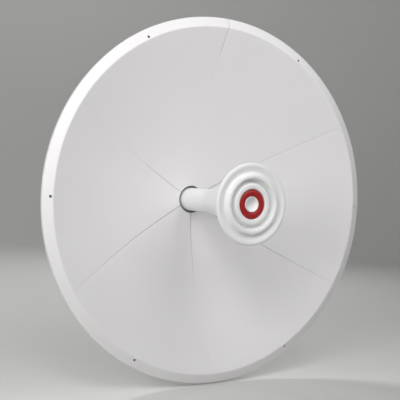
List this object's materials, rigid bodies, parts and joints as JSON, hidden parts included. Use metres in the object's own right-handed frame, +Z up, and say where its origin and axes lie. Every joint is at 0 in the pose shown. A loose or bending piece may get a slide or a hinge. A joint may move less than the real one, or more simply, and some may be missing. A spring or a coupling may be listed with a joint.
{
  "type": "microwave dish antenna",
  "caption": "Parabolic dish antenna of pressed petals with a flared feed and splash plate on its axis, and a tilting clamp mount for a pole.",
  "frame": {"origin": "on the flat rear face of the pole bracket's web, at the height of the dish's axis", "axes": "+Y out of the pole face towards the pole, -Y along the boresight, +Z up"},
  "size_m": [0.9, 0.556, 0.9],
  "materials": {
    "petals": "fine white powder coat",
    "white_plastic": "moulded, satin",
    "red_plastic": "moulded, satin",
    "grey_collar": "moulded, matt",
    "casting": "as cast",
    "galvanised": "hot-dip galvanised",
    "zinc": "zinc plated",
    "nickel": "nickel plated"
  },
  "bodies": {
    "root": {"petal_1": "petals", "petal_2": "petals", "petal_3": "petals", "petal_4": "petals", "petal_5": "petals", "petal_6": "petals", "hub_casting": "casting", "feed_collar": "grey_collar", "feed_tube": "white_plastic", "feed_cone": "white_plastic", "splash_plate": "white_plastic", "feed_cap": "white_plastic", "feed_ring": "red_plastic", "feed_housing": "casting", "connector_front": "nickel", "connector_rear": "nickel", "back_plate": "galvanised", "tilt_cheek_left": "galvanised", "tilt_cheek_right": "galvanised", "pole_bracket": "galvanised", "upper_jaw": "galvanised", "lower_jaw": "galvanised", "pivot_bolt": "zinc", "lock_bolt": "zinc", "clamp_rod_1": "zinc", "clamp_rod_2": "zinc", "clamp_rod_3": "zinc", "clamp_rod_4": "zinc"}
  },
  "joints": []
}
